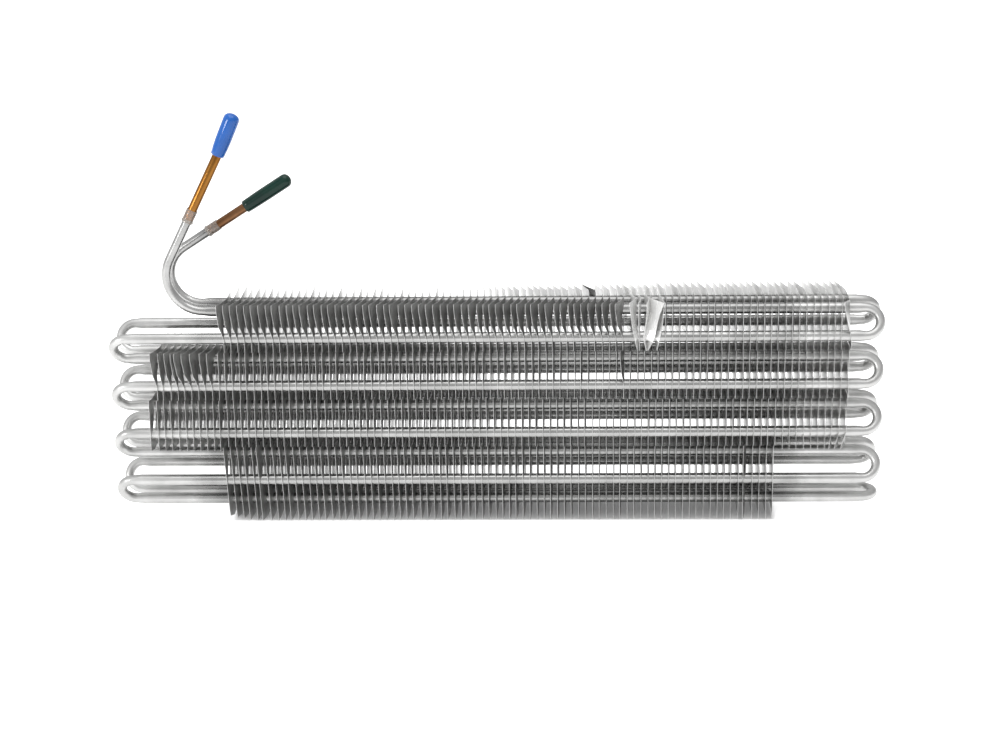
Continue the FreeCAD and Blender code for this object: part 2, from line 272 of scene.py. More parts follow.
def worked(name, finish, cloud_mm, grain_mm, stretch, rough, sockets, relief=None, painted_shade_and_tone=None, dull=None):
    """Worked surface: clouds between two colours, and a grain that varies its roughness and its relief.

    Stretch under 1 draws the grain out along an axis. Relief is a strength and a depth in millimetres.
    The painted shade and tone changes the colour by place, and dull changes the roughness by place.
    """
    material, tree, output, point = new_material(name)
    patterns = []
    for size_mm, scale in ((cloud_mm, (1, 1, 1)), (grain_mm, stretch)):
        placed = add_node(tree, "ShaderNodeMapping", inputs={"Scale": scale}, links={"Vector": point})
        pattern = add_node(
            tree,
            "ShaderNodeTexNoise",
            inputs={"Scale": 1 / (size_mm * MM), "Detail": 4.0},
            links={"Vector": placed.outputs["Vector"]},
        )
        patterns.append(pattern.outputs["Fac"])
    clouds, grain = patterns
    tint = add_node(tree, "ShaderNodeValToRGB", links={"Fac": clouds})
    colours = bpy.context.scene.coil_colours
    for stop, place, shade in zip(tint.color_ramp.elements, (NOISE_LOW, NOISE_HIGH), ("deep", "pale")):
        stop.position = place
        stop.color = getattr(colours, f"{finish}_{shade}")
    base = tint.outputs["Color"]
    if painted_shade_and_tone:
        base = painted_shade_and_tone(tree, point, base)
    polish = add_node(
        tree,
        "ShaderNodeMapRange",
        inputs={"From Min": NOISE_LOW, "From Max": NOISE_HIGH, "To Min": rough[0], "To Max": rough[1]},
        links={"Value": grain},
    ).outputs["Result"]
    if dull:
        polish = dull(tree, point, polish)
    links = {"Base Color": base, "Roughness": polish}
    if relief:
        bump = add_node(
            tree,
            "ShaderNodeBump",
            inputs={"Strength": relief[0], "Distance": relief[1] * MM},
            links={"Height": grain},
        )
        links["Normal"] = bump.outputs["Normal"]
    surface = add_node(tree, "ShaderNodeBsdfPrincipled", inputs=sockets, links=links)
    tree.links.new(surface.outputs["BSDF"], output.inputs["Surface"])
    return material


def metal(name, finish, grain_mm, stretch, rough, relief_mm, bare=1.0, painted_shade_and_tone=None, dull=None):
    """Worked metal, with a chalky share of oxide where it is less than bare."""
    sockets = {"Metallic": bare}
    relief = (0.35, relief_mm)
    return worked(name, finish, METAL_CLOUD_MM, grain_mm, stretch, rough, sockets, relief, painted_shade_and_tone, dull)


def fin_shade_and_grey_lines(tree, point, base):
    """Darken the tube between the fins with painted shade, deepest on the inner tubes, and grey its free
    lines.
    """
    place = add_node(tree, "ShaderNodeSeparateXYZ", links={"Vector": point})
    outside = from_middle(tree, place.outputs["X"], FIN_SHADE_END_MM, (0.0, 1.0))
    inside = from_middle(tree, place.outputs["Y"], FIN_SHADE_INNER_MM, FIN_SHADE_TONES)
    # Painted shade: the tube is darker between the fins, and darkest on the inner tubes
    fin_shade = add_node(tree, "ShaderNodeMath", {"operation": "MAXIMUM"}, links={0: outside, 1: inside})
    lines = from_middle(tree, place.outputs["Z"], LINES_UP_MM, (1.0, LINES_TONE))
    tone = add_node(
        tree, "ShaderNodeMath", {"operation": "MULTIPLY"}, links={0: fin_shade.outputs["Value"], 1: lines}
    )
    toned = add_node(
        tree,
        "ShaderNodeVectorMath",
        {"operation": "SCALE"},
        links={0: base, "Scale": tone.outputs["Value"]},
    )
    return toned.outputs["Vector"]


def satin_ends(tree, point, polish):
    """Roughen the tube's ends, where the fins haven't burnished it."""
    place = add_node(tree, "ShaderNodeSeparateXYZ", links={"Vector": point})
    satin = from_middle(tree, place.outputs["X"], SATIN_MM, (0.0, SATIN))
    rough = add_node(tree, "ShaderNodeMath", {"operation": "ADD"}, links={0: polish, 1: satin})
    return rough.outputs["Value"]


def drawn_aluminium():
    """Drawn aluminium tube: burnished by the fins and satin at its ends, with fine lines along it, and
    painted shade between the fins.
    """
    lines = (0.05, 1, 1)
    # The tube carries painted shade between the fins
    return metal(
        "drawn aluminium", "tube", 1.2, lines, (0.15, 0.23), 0.01, painted_shade_and_tone=fin_shade_and_grey_lines, dull=satin_ends
    )


def fin_foil():
    """Rolled aluminium foil: a soft shine with faint clouds from the rolls, slightly chalky with oxide."""
    return metal("rolled fin foil", "foil", 2.5, (1, 1, 0.3), (0.28, 0.42), 0.06, bare=0.85)


def crushed_foil_painted_lit():
    """Foil crumpled by a blow, as a paler and less metallic copy of the fin foil: painted lighter for the
    light that its folds catch, so that they stand out from the fins.
    """
    return metal("bruised fin foil", "crushed_lit", 6.0, (1, 1, 0.3), (0.22, 0.3), 0.04, bare=0.3)


def bright_copper():
    """New drawn copper, warmed by the torch: golden, with a clear highlight."""
    return metal("bright copper", "front_copper", 6.0, (1, 1, 0.3), (0.26, 0.28), 0.003)


def browned_copper():
    """Copper browned by heat: a soft highlight on brown."""
    return metal("browned copper", "rear_copper", 6.0, (1, 1, 0.3), (0.36, 0.42), 0.003)


def dipped_vinyl(name, finish, gloss):
    """Dipped vinyl cap: an even colour under a soft gloss, slightly rippled."""
    sockets = {"IOR": 1.45, "Specular IOR Level": 0.2, "Coat Weight": gloss, "Coat Roughness": 0.1}
    return worked(name, finish, 14.0, 3.0, (1, 1, 1), (0.2, 0.26), sockets, relief=(0.1, 0.1))


def shrunk_sleeve():
    """Shrunk sleeve of clear plastic: the copper and the tube show through it, a little clouded."""
    sockets = {"IOR": 1.45, "Transmission Weight": 0.75, "Coat Weight": 0.3, "Coat Roughness": 0.1}
    return worked("shrunk sleeve", "sleeve", 5.0, 5.0, (1, 1, 1), (0.12, 0.22), sockets)


# Modelling helpers

def deselect():
    """Nothing selected, in object mode."""
    if bpy.context.mode != "OBJECT":
        bpy.ops.object.mode_set(mode="OBJECT")
    bpy.ops.object.select_all(action="DESELECT")


def pick(piece):
    """Only this piece selected and active, in object mode."""
    deselect()
    piece.select_set(True)
    bpy.context.view_layer.objects.active = piece


def finish_piece(piece, name, material, node, place=None):
    """Put a modelled piece in its place and let it stand for its node."""
    pick(piece)
    if place is not None:
        piece.matrix_world = place
    bpy.ops.object.transform_apply(location=True, rotation=True, scale=True)
    piece.name = name
    piece.data.materials.clear()
    piece.data.materials.append(material)
    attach(piece, "root")
    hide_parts(node)


def face_outwards(piece):
    """Merge doubles and turn every face of a closed piece outwards."""
    pick(piece)
    bpy.ops.object.mode_set(mode="EDIT")
    bpy.ops.mesh.select_all(action="SELECT")
    bpy.ops.mesh.remove_doubles(threshold=0.01 * MM)
    bpy.ops.mesh.normals_make_consistent(inside=False)
    bpy.ops.object.mode_set(mode="OBJECT")


def smooth(piece, degrees):
    """Smooth shading across edges flatter than this."""
    pick(piece)
    bpy.ops.object.shade_smooth_by_angle(angle=math.radians(degrees))


def extrude(step):
    """Extrude the selected loop by a vector in millimetres."""
    bpy.ops.mesh.extrude_region_move(TRANSFORM_OT_translate={"value": tuple(step * MM)})


# The tube

# How far a crimp goes in and out, how near the bend's inner side it stays, and how far past its start
CRIMP_DEPTH = 0.45
CRIMP_INSIDE = 0.8
CRIMP_START = 1.5


def pass_centre(level, side, along=0.0):
    """Centre of one pass, in millimetres."""
    sizes = sizes_of(bpy.context.scene.coil_tube)
    gap = sizes.odd_gap if level % 2 else sizes.even_gap
    height = sizes.foot_height + (LOWEST_LEVEL - level) * sizes.level_pitch
    return Vector((along, SIDES[side] * gap, height))


def line_direction(side):
    """Direction of a free line towards its cap."""
    lean = getattr(bpy.context.scene.coil_tube, f"{side}_turn") - math.pi / 2
    return Vector((math.sin(lean), 0, math.cos(lean)))


def line_arc(side):
    """Start, centre and end of a free line's bend."""
    sizes = sizes_of(bpy.context.scene.coil_tube)
    radius = getattr(sizes, f"{side}_radius")
    turn = getattr(sizes, f"{side}_turn")
    start = pass_centre(1, side, getattr(sizes, f"{side}_start"))
    centre = start + UP * radius
    return start, centre, centre + Vector((-math.sin(turn), 0, -math.cos(turn))) * radius


def line_end(side):
    """Joint of the aluminium line and the copper stub."""
    run = getattr(sizes_of(bpy.context.scene.coil_tube), f"{side}_run")
    return line_arc(side)[2] + line_direction(side) * run


def on_line(side, along):
    """Place on a free line's axis, at a distance in millimetres past the joint."""
    direction = line_direction(side)
    turn = UP.rotation_difference(direction).to_matrix().to_4x4()
    return Matrix.Translation((line_end(side) + direction * along) * MM) @ turn


def shape_loop(piece, centre, arm, in_plane, across):
    """Press the selected loop to its widths, in the plane of its bend and across it."""
    mesh = bmesh.from_edit_mesh(piece.data)
    arm = arm.normalized()
    for vert in [vert for vert in mesh.verts if vert.select]:
        out = vert.co - centre * MM
        flat = arm * out.dot(arm)
        turn = math.atan2((out - flat).length, abs(out.dot(arm)))
        width = MM / 2 / math.hypot(math.cos(turn) / in_plane, math.sin(turn) / across)
        vert.co = centre * MM + out.normalized() * width
    bmesh.update_edit_mesh(piece.data)


def turn_round(point, centre, travel, turn, steps):
    """Spin the selected loop round a bend's centre, on from its direction of travel."""
    axis = travel.cross(point - centre).normalized()
    bpy.ops.mesh.spin(steps=steps, angle=turn, center=tuple(centre * MM), axis=tuple(axis))


def crimp(piece, centre, sizes):
    """Press shallow crimps into the inner side of the return bend just made."""
    mesh = bmesh.from_edit_mesh(piece.data)
    for vert in mesh.verts:
        out = vert.co / MM - centre
        if out.x < CRIMP_START or out.length > sizes.odd_gap - CRIMP_INSIDE:
            continue
        turn = math.atan2(math.copysign(math.hypot(out.y, out.z), out.z), out.x)
        ring = round(turn * sizes.bend_steps / math.pi + 0.5)
        vert.co += out.normalized() * (CRIMP_DEPTH if ring % 2 else -CRIMP_DEPTH) * MM
    bmesh.update_edit_mesh(piece.data)


class COIL_OT_tube(bpy.types.Operator):
    """One tube, bent from a single length and widened where it passes through the fins"""

    bl_idname = "coil.tube"
    bl_label = "Bend the tube"

    def execute(self, context):
        sizes = sizes_of(context.scene.coil_tube)
        deselect()
        start = line_end("front")
        travel = -line_direction("front")
        bpy.ops.mesh.primitive_circle_add(
            vertices=sizes.segments, radius=sizes.line_width / 2 * MM, fill_type="NGON"
        )
        tube = context.object
        facing = UP.rotation_difference(travel).to_matrix().to_4x4()
        tube.matrix_world = Matrix.Translation(start * MM) @ facing
        bpy.ops.object.transform_apply()
        bpy.ops.object.mode_set(mode="EDIT")
        bpy.ops.mesh.select_all(action="SELECT")
        arc_start, centre, arc_end = line_arc("front")
        extrude(arc_end - start)
        turn_round(arc_end, centre, travel, sizes.front_turn, sizes.bend_steps)
        levels = range(1, LOWEST_LEVEL + 1)
        passes = [(level, "front") for level in levels] + [(level, "rear") for level in reversed(levels)]
        here = arc_start
        outward = 1
        for (level, side), following in zip(passes, passes[1:] + [None]):
            travel = ALONG * outward
            stop = pass_centre(level, side, outward * sizes.pass_reach)
            if following is None:
                stop = line_arc("rear")[0]
            extrude(travel * sizes.taper)
            shape_loop(tube, here + travel * sizes.taper, UP, sizes.pass_width, sizes.pass_width)
            extrude(stop - here - travel * sizes.taper * 2)
            extrude(travel * sizes.taper)
            if following is None:
                shape_loop(tube, stop, UP, sizes.line_width, sizes.line_width)
                break
            there = pass_centre(*following, outward * sizes.pass_reach)
            middle = (stop + there) / 2
            shape_loop(tube, stop, there - stop, sizes.bend_flat, sizes.bend_width)
            turn_round(stop, middle, travel, math.pi, sizes.bend_steps)
            if outward > 0 and side == "rear":
                crimp(tube, middle, sizes)
            here = there
            outward = -outward
        arc_start, centre, arc_end = line_arc("rear")
        turn_round(arc_start, centre, travel, sizes.rear_turn, sizes.bend_steps)
        extrude(line_end("rear") - arc_end)
        bpy.ops.mesh.select_all(action="DESELECT")
        bpy.ops.mesh.select_non_manifold(extend=False)
        bpy.ops.mesh.edge_face_add()
        face_outwards(tube)
        smooth(tube, 40)
        finish_piece(tube, "tube_in_one_length", drawn_aluminium(), "serpentine_tube")
        return {"FINISHED"}


# Stubs, sleeves and caps, turned on their own axis and then put on their line

# Rounded edges of a stub: inwards from its wall, and up from its lower or down from its upper end
STUB_LOWER_EDGE = ((0.5, 0.2), (0.0, 0.7))
STUB_UPPER_EDGE = ((0.0, 0.6), (0.5, 0.0))
# Sleeve from its flared lip up: outwards from its wall, and height
SLEEVE_PROFILE = ((0.35, 0.0), (0.5, 0.5), (0.4, 1.2), (0.0, 1.8), (-0.05, 4.5), (0.05, 7.0))
# Its upper edge as on the stubs, its bore's distance from both ends, and how far the bore is pressed on
SLEEVE_UPPER_EDGE = ((0.0, 0.5), (0.3, 0.0))
SLEEVE_BORE_EDGE = 0.2
SLEEVE_PRESS = 0.1
SLEEVE_BELOW_JOINT = 2.0
# Cap: rolled lip at its foot, skirt that widens a little, shares of the swell at shares of the length,
# and domed crown
CAP_LIP = 0.5
CAP_SKIRT = 4.0
CAP_SKIRT_OUT = 0.05
CAP_SWELL = ((0.45, 0.16), (0.9, 0.34), (1.0, 0.5))
CAP_DOME = 6.0
CAP_CROWN = (0.3, 0.55, 0.75, 0.9, 0.98)
CAP_CROWN_POWER = 2.6
CAP_TIP = 0.4


def turned(rings, segments=32):
    """Closed round piece through rings of radius and height, from the first to the last."""
    deselect()
    bpy.ops.mesh.primitive_circle_add(vertices=segments, radius=rings[0][0] * MM, fill_type="NGON")
    piece = bpy.context.object
    piece.matrix_world = Matrix.Translation(UP * rings[0][1] * MM)
    bpy.ops.object.transform_apply()
    bpy.ops.object.mode_set(mode="EDIT")
    bpy.ops.mesh.select_all(action="SELECT")
    for (radius, height), (next_radius, next_height) in zip(rings, rings[1:]):
        extrude(UP * (next_height - height))
        share = next_radius / radius
        bpy.ops.transform.resize(value=(share, share, 1), center_override=(0, 0, next_height * MM))
    face_outwards(piece)
    return piece


class COIL_OT_stubs(bpy.types.Operator):
    """Both copper stubs, pushed into the aluminium and run into their caps"""

    bl_idname = "coil.stubs"
    bl_label = "Cut the copper stubs"

    def execute(self, context):
        sizes = sizes_of(context.scene.coil_ends)
        for side, material in (("front", bright_copper()), ("rear", browned_copper())):
            radius = sizes.stub_width / 2
            end = getattr(sizes, f"{side}_out") + sizes.in_cap
            rings = [(radius - inwards, height) for inwards, height in STUB_LOWER_EDGE]
            rings += [(radius - inwards, end - below) for inwards, below in STUB_UPPER_EDGE]
            stub = turned(rings)
            smooth(stub, 40)
            node = f"{side}_copper_stub"
            finish_piece(stub, f"{side}_stub_drawn", material, node, on_line(side, 0))
        return {"FINISHED"}


class COIL_OT_sleeves(bpy.types.Operator):
    """Sleeves shrunk over the joints, each with a flared lip below"""

    bl_idname = "coil.sleeves"
    bl_label = "Shrink the sleeves"

    def execute(self, context):
        sizes = sizes_of(context.scene.coil_ends)
        bore = sizes.stub_width / 2 - SLEEVE_PRESS
        wall = sizes.sleeve_width / 2
        end = sizes.sleeve_length
        rings = [(bore, end - SLEEVE_BORE_EDGE), (bore, SLEEVE_BORE_EDGE)]
        rings += [(wall + out, height) for out, height in SLEEVE_PROFILE]
        rings += [(wall - inwards, end - below) for inwards, below in SLEEVE_UPPER_EDGE]
        material = shrunk_sleeve()
        for side in SIDES:
            sleeve = turned(rings)
            smooth(sleeve, 50)
            name = f"{side}_sleeve_shrunk"
            place = on_line(side, -SLEEVE_BELOW_JOINT)
            finish_piece(sleeve, name, material, f"{side}_joint_sleeve", place)
        return {"FINISHED"}


class COIL_OT_caps(bpy.types.Operator):
    """Push-on vinyl caps: a rolled foot, a slow swell and a domed crown"""

    bl_idname = "coil.caps"
    bl_label = "Push on the caps"

    def execute(self, context):
        sizes = sizes_of(context.scene.coil_ends)
        caps = {"front": ("blue", 0.6), "rear": ("green", 0.2)}
        for side, (dye, gloss) in caps.items():
            end = getattr(sizes, f"{side}_cap")
            foot = getattr(sizes, f"{side}_foot")
            belly = getattr(sizes, f"{side}_belly")
            rings = [(foot - CAP_LIP, 0.0), (foot, CAP_LIP), (foot + CAP_SKIRT_OUT, CAP_SKIRT)]
            rings += [(foot + (belly - foot) * swell, end * share) for swell, share in CAP_SWELL]
            rings.append((belly, end - CAP_DOME))
            for share in CAP_CROWN:
                radius = belly * math.sqrt(1 - share ** CAP_CROWN_POWER)
                rings.append((radius, end - CAP_DOME * (1 - share)))
            rings.append((CAP_TIP, end))
            cap = turned(rings)
            smooth(cap, 60)
            material = dipped_vinyl(f"{dye} vinyl", f"{side}_vinyl", gloss)
            askew = Matrix.Rotation(getattr(sizes, f"{side}_askew"), 4, "Y")
            place = on_line(side, getattr(sizes, f"{side}_out")) @ askew
            finish_piece(cap, f"{dye}_cap_dipped", material, f"{dye}_cap", place)
        return {"FINISHED"}


# The fins

# Slots are pressed this far into the tubes, and reach this share of their half width past them
SLOT_PRESS = 0.2
SLOT_PAST = 0.6
# Fold lines of the upper corners: from the middle, below the top edge, and from where they are cut
FOLD_OUT = 24
FOLDS_BELOW_TOP = (6, 20, 26, 32)
FOLDS_FROM = 10
# Half depth of a fin, and where its corners and its front edge start to bend, from the middle
HALF_DEPTH = 33
CORNER_START = 13
REAR_CORNER_START = 8
LOW_CORNER_START = 20
EDGE_START = 26
# Heights below the top edge between which front corners bend, and above the bottom edge for low corners
CORNER_BELOW_TOP = (34, 12)
LOW_CORNER_HEIGHT = 12
# Lean of the rear corners' fold, and how far a corner drops for each millimetre that it leans or curls
REAR_FOLD_SLOPE = 0.35
LEAN_DROP = 0.08
CURL_DROP = 0.05
# Height above the bottom edge from which an overhanging fin is longer
OVERHANG_HEIGHT = 4
# Shares of the height between which a fin's front edge is pulled to the left
PULL_SHARES = (0.15, 0.9)

# The crushed clump: where it starts and ends along X
CRUMPLE_START = 117.0
CRUMPLE_END = 148.0
# Places along X of each crushed fin's crease and front edge, at five heights from the top down
CRUSHED = (
    ((125.1, 125.3, 125.5, 126.9, 126.6), (118.5, 119.6, 121.0, 122.6, 125.8)),
    ((129.5, 129.0, 128.5, 128.0, 128.0), (126.4, 126.4, 126.6, 127.0, 127.5)),
    ((137.0, 137.0, 134.0, 133.0, 134.5), (133.7, 133.7, 132.5, 130.6, 133.4)),
    ((135.5, 136.4, 133.7, 130.6, 133.4), (149.0, 145.0, 142.5, 141.0, 135.0)),
    ((147.5, 145.5, 144.0, 139.5, 142.0), (149.5, 148.3, 147.5, 145.5, 142.8)),
)
# Depths of the creases at the same heights: in front of the tubes that the fin is threaded on
CREASE_DEPTHS = (-15.0, -17.0, -24.0, -30.5, -27.5)
CREASE_ROOT = -4.0

# Single fins that stand out: row, place along X, how near a fin is to be, and what is bent how far
BENT_MORE = (
    ("one", 92.7, 3.1, "curl", 12.0),
    ("two", -270, 6, "lean", 8.0),
    ("two", 112, 3.1, "lean", 3.2),
    ("four", 224, 3.1, "front_pull", 3.0),
    ("four", -210, 3.1, "front_pull", 3.0),
)


def cut_sheet(inside, point, normal):
    """Cut the faces whose middle passes a test along a line, given in millimetres as Y and Z."""
    sheet = bpy.context.object
    mesh = bmesh.from_edit_mesh(sheet.data)
    for vert in mesh.verts:
        vert.select_set(False)
    mesh.select_flush(False)
    for face in mesh.faces:
        if inside(face.calc_center_median() / MM):
            face.select_set(True)
    bmesh.update_edit_mesh(sheet.data)
    bpy.ops.mesh.bisect(
        plane_co=(0, point[0] * MM, point[1] * MM),
        plane_no=(0, normal[0], normal[1]),
        threshold=0.0001 * MM,
    )


def punch_slot(first, second, inside):
    """Punch one slot round two tubes, its edges pressed to them."""
    half_width = sizes_of(bpy.context.scene.coil_tube).pass_width / 2 - SLOT_PRESS
    past_centre = half_width * SLOT_PAST
    way = (second - first).normalized()
    across = Vector((0, -way.z, way.y))
    for offset in (-half_width, half_width):
        edge = first + across * offset
        cut_sheet(inside, (edge.y, edge.z), (across.y, across.z))
    for end, sign in ((first, -1), (second, 1)):
        edge = end + way * sign * past_centre
        cut_sheet(inside, (edge.y, edge.z), (way.y, way.z))
    sheet = bpy.context.object
    mesh = bmesh.from_edit_mesh(sheet.data)
    middle = (first + second) / 2
    reach = (second - first).length / 2 + past_centre
    slot = []
    for face in mesh.faces:
        out = face.calc_center_median() / MM - middle
        if abs(out.dot(across)) < half_width and abs(out.dot(way)) < reach:
            slot.append(face)
    bmesh.ops.delete(mesh, geom=slot, context="FACES")
    bmesh.update_edit_mesh(sheet.data)


def row_edges(row):
    """Lower and upper edge of a row of fins, in millimetres."""
    levels = ROWS[row][0]
    seam = sizes_of(bpy.context.scene.coil_fins).seam
    half = (sizes_of(bpy.context.scene.coil_tube).level_pitch - seam) / 2
    bottom = 0.0 if levels[-1] == LOWEST_LEVEL else pass_centre(levels[-1], "front").z - half
    return bottom, pass_centre(levels[0], "front").z + half


def fin_blank(row):
    """One flat fin of a row, slotted, with fold lines near its upper corners."""
    depth = sizes_of(bpy.context.scene.coil_fins).depth
    bottom, top = row_edges(row)
    levels = ROWS[row][0]
    deselect()
    bpy.ops.mesh.primitive_plane_add(size=1, rotation=(0, math.pi / 2, 0))
    blank = bpy.context.object
    bpy.ops.object.transform_apply()
    bpy.ops.object.mode_set(mode="EDIT")
    bpy.ops.mesh.select_all(action="SELECT")
    bpy.ops.transform.resize(value=(1, depth * MM, (top - bottom) * MM), center_override=(0, 0, 0))
    bpy.ops.transform.translate(value=(0, 0, (top + bottom) / 2 * MM))
    floor_of_pairs = bottom

    def everywhere(middle):
        return True

    def below_pairs(middle):
        return middle.z < floor_of_pairs

    cut_sheet(everywhere, (0, 0), (1, 0))
    if len(levels) == 3:
        above_pairs = top - pass_centre(levels[0], "front").z
        floor_of_pairs = pass_centre(levels[1], "front").z - above_pairs
        cut_sheet(everywhere, (0, floor_of_pairs), (0, 1))
        punch_slot(pass_centre(levels[2], "front"), pass_centre(levels[2], "rear"), below_pairs)
    for side, sign in SIDES.items():

        def half(middle):
            return middle.z > floor_of_pairs and middle.y * sign > 0

        def outer(middle):
            return half(middle) and middle.y * sign > FOLDS_FROM

        punch_slot(pass_centre(levels[0], side), pass_centre(levels[1], side), half)
        cut_sheet(outer, (sign * FOLD_OUT, 0), (1, 0))
        for below in FOLDS_BELOW_TOP:
            cut_sheet(outer, (0, top - below), (0, 1))
    bpy.ops.object.mode_set(mode="OBJECT")
    blank.name = f"row_{row}_fin_blank"
    return blank


def divide(fin):
    """Divide a fin into small faces, so that it can crumple."""
    pick(fin)
    bpy.ops.object.mode_set(mode="EDIT")
    bpy.ops.mesh.select_all(action="SELECT")
    bpy.ops.mesh.subdivide(number_cuts=4)
    bpy.ops.object.mode_set(mode="OBJECT")


def ramp(value, start, end):
    """Smooth step from 0 at start to 1 at end."""
    share = min(max((value - start) / (end - start), 0), 1)
    return share * share * (3 - 2 * share)


def bends_of(row, along, chance):
    """How far handling bent one fin, in millimetres."""
    bends = SimpleNamespace(
        tilt=chance.gauss(0, 0.13),
        twist=chance.gauss(0, 0.15),
        bow=chance.gauss(0, 0.13),
        front_pull=0.9 + abs(chance.gauss(0, 0.35)),
        pull_below=1.0,
        lean=0.0,
        curl=0.0,
        rise=0.0,
        slant=0.0,
        dent=0.0,
        lift=0.0,
        reach=0.0,
    )
    if row == "one":
        # Rear corners curl and stand up towards the right, and front corners lean as far as the clump
        bends.curl = 1.0 + 6.4 * ramp(along, -60, 60) + chance.gauss(0, 0.6)
        bends.rise = 2.6 * ramp(along, 60, 160)
        if along < CRUMPLE_START:
            bends.lean = 5.8 + chance.gauss(0, 0.5)
        if along > 306:
            # The last fin is folded along its front edge
            bends.front_pull = 5.0
            bends.pull_below = 0.0
            bends.tilt = -2.0
    if row == "two" and along < -243:
        # Front corners lean where no row stands above them
        bends.lean = 5.0 + chance.gauss(0, 1.2)
    if row == "three":
        # Low corners are dented at the right end, and fins are longer where no row stands below them
        bends.dent = 5.0 * ramp(along, 290, 310)
        if not -242 < along < 249:
            bends.reach = 3.4
    if row == "four":
        # Fins slant at the left, and the row's low corners are rounded at both ends
        bends.slant = 1.9 * (1 - ramp(along, -240, 60))
        bends.lift = 5.0 * (1 - ramp(along, -243, -215)) + 2.5 * ramp(along, 240, 247)
    for bent_row, place, reach, kind, amount in BENT_MORE:
        if row == bent_row and abs(along - place) < reach:
            setattr(bends, kind, amount)
    return bends


def handling(bends, top, bottom):
    """Function of Y and Z that gives the shift of a handled fin along X and up."""

    def shift(y, z):
        up = (z - bottom) / (top - bottom)
        above_bottom = z - bottom
        front_edge = ramp(-y, EDGE_START, HALF_DEPTH) * max(bends.pull_below, ramp(up, *PULL_SHARES))
        corner_start, corner_end = (top - below for below in CORNER_BELOW_TOP)
        corner = ramp(-y, CORNER_START, HALF_DEPTH) * ramp(z, corner_start, corner_end)
        rear_corner = ramp(y + (z - top) * REAR_FOLD_SLOPE, REAR_CORNER_START, HALF_DEPTH)
        low_corner = ramp(-y, LOW_CORNER_START, HALF_DEPTH) * ramp(-above_bottom, -LOW_CORNER_HEIGHT, 0)
        across = bends.tilt * (up - 0.5) - bends.slant * (2 * up - 1)
        across += bends.twist * y / HALF_DEPTH + bends.bow * math.sin(math.pi * up)
        across -= bends.front_pull * front_edge
        across -= bends.lean * corner + bends.curl * rear_corner + bends.dent * low_corner
        rise = (bends.rise - CURL_DROP * bends.curl) * rear_corner - LEAN_DROP * bends.lean * corner
        rise += bends.lift * low_corner - bends.reach * ramp(-above_bottom, -OVERHANG_HEIGHT, 0)
        return across, rise

    return shift


def at_height(values, level):
    """A value between those given for the heights of a crushed fin."""
    above = int(level)
    return values[above] + (values[above + 1] - values[above]) * (level - above)


def crumpled(along, place, top, bottom):
    """How one fin of the clump was folded: flat facets from its own plane to a crease and the edge."""
    crease, edge = CRUSHED[place]
    step = (top - bottom) / (len(edge) - 1)
    # Just short of the last height, so that there is always a next one
    lowest = len(edge) - 1.001

    def shift(y, z):
        level = min(max((top - z) / step, 0), lowest)
        fold = at_height(CREASE_DEPTHS, level)
        creased = at_height(crease, level) - along
        if y > fold:
            return creased * min(max((CREASE_ROOT - y) / (CREASE_ROOT - fold), 0), 1)
        return creased + (at_height(edge, level) - along - creased) * (fold - y) / (fold + HALF_DEPTH)

    return shift


def group_ends(row):
    """Where each group of a row ends along X: midway between its node and the next."""
    boxes = [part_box(f"row_{row}_fins_{group}") for group in ROWS[row][1]]
    ends = [(left[1].x + right[0].x) / 2 / MM for left, right in zip(boxes, boxes[1:])] + [math.inf]
    if row == "one":
        ends[2:4] = CRUMPLE_START, CRUMPLE_END
    return dict(zip(ROWS[row][1], ends))


class COIL_OT_fins(bpy.types.Operator):
    """All fins of one row at their true pitch, each bent a little by handling"""

    bl_idname = "coil.fins"
    bl_label = "Thread the fins"

    row: bpy.props.StringProperty(name="Row", description="Row of fins, from the top", default="one")

    def execute(self, context):
        sizes = sizes_of(context.scene.coil_fins)
        bottom, top = row_edges(self.row)
        blank = fin_blank(self.row)
        start = getattr(sizes, f"{self.row}_start")
        fins = getattr(sizes, f"{self.row}_count")
        pitch = (getattr(sizes, f"{self.row}_end") - start) / (fins - 1)
        chance = random.Random(self.row)
        ends = group_ends(self.row)
        stacks = {group: [] for group in ends}
        for index in range(fins):
            along = start + index * pitch
            group = next(group for group, end in ends.items() if along < end)
            fin = blank.copy()
            fin.data = blank.data.copy()
            context.collection.objects.link(fin)
            handled = handling(bends_of(self.row, along, chance), top, bottom)
            folded = None
            if group == "crushed":
                folded = crumpled(along, len(stacks[group]), top, bottom)
                divide(fin)
            for vert in fin.data.vertices:
                y = vert.co.y / MM
                z = vert.co.z / MM
                across, rise = handled(y, z)
                if folded and y < 0:
                    across, rise = folded(y, z), 0
                vert.co += Vector((along + across, 0, rise)) * MM
            stacks[group].append(fin)
        for group, stack in stacks.items():
            self.thread(context, group, stack, sizes.gauge)
        bpy.data.objects.remove(blank)
        return {"FINISHED"}

    def thread(self, context, group, stack, gauge):
        """Join the fins of one group, give them their gauge and let them stand for their node."""
        pick(stack[0])
        for fin in stack:
            fin.select_set(True)
        bpy.ops.object.join()
        piece = context.object
        sheet = piece.modifiers.new("gauge", "SOLIDIFY")
        sheet.thickness = gauge * MM
        sheet.offset = 0
        bpy.ops.object.modifier_apply(modifier=sheet.name)
        if group == "crushed":
            smooth(piece, 12)
            # The crushed fins take the paler foil, painted lighter for the light that their folds catch
            foil = crushed_foil_painted_lit()
        else:
            smooth(piece, 35)
            foil = bpy.data.materials.get("rolled fin foil") or fin_foil()
        node = f"row_{self.row}_fins_{group}"
        finish_piece(piece, f"{node}_foil", foil, node)


# The studio

SHEET_SIZE = 40
CAMERA_PLACE = (0.0754, -2.0489, 0.7658)
CAMERA_TARGET = (0.0038, 0.0, 0.1316)
CAMERA_ROLL = -0.84
CAMERA_LENS = 86.4
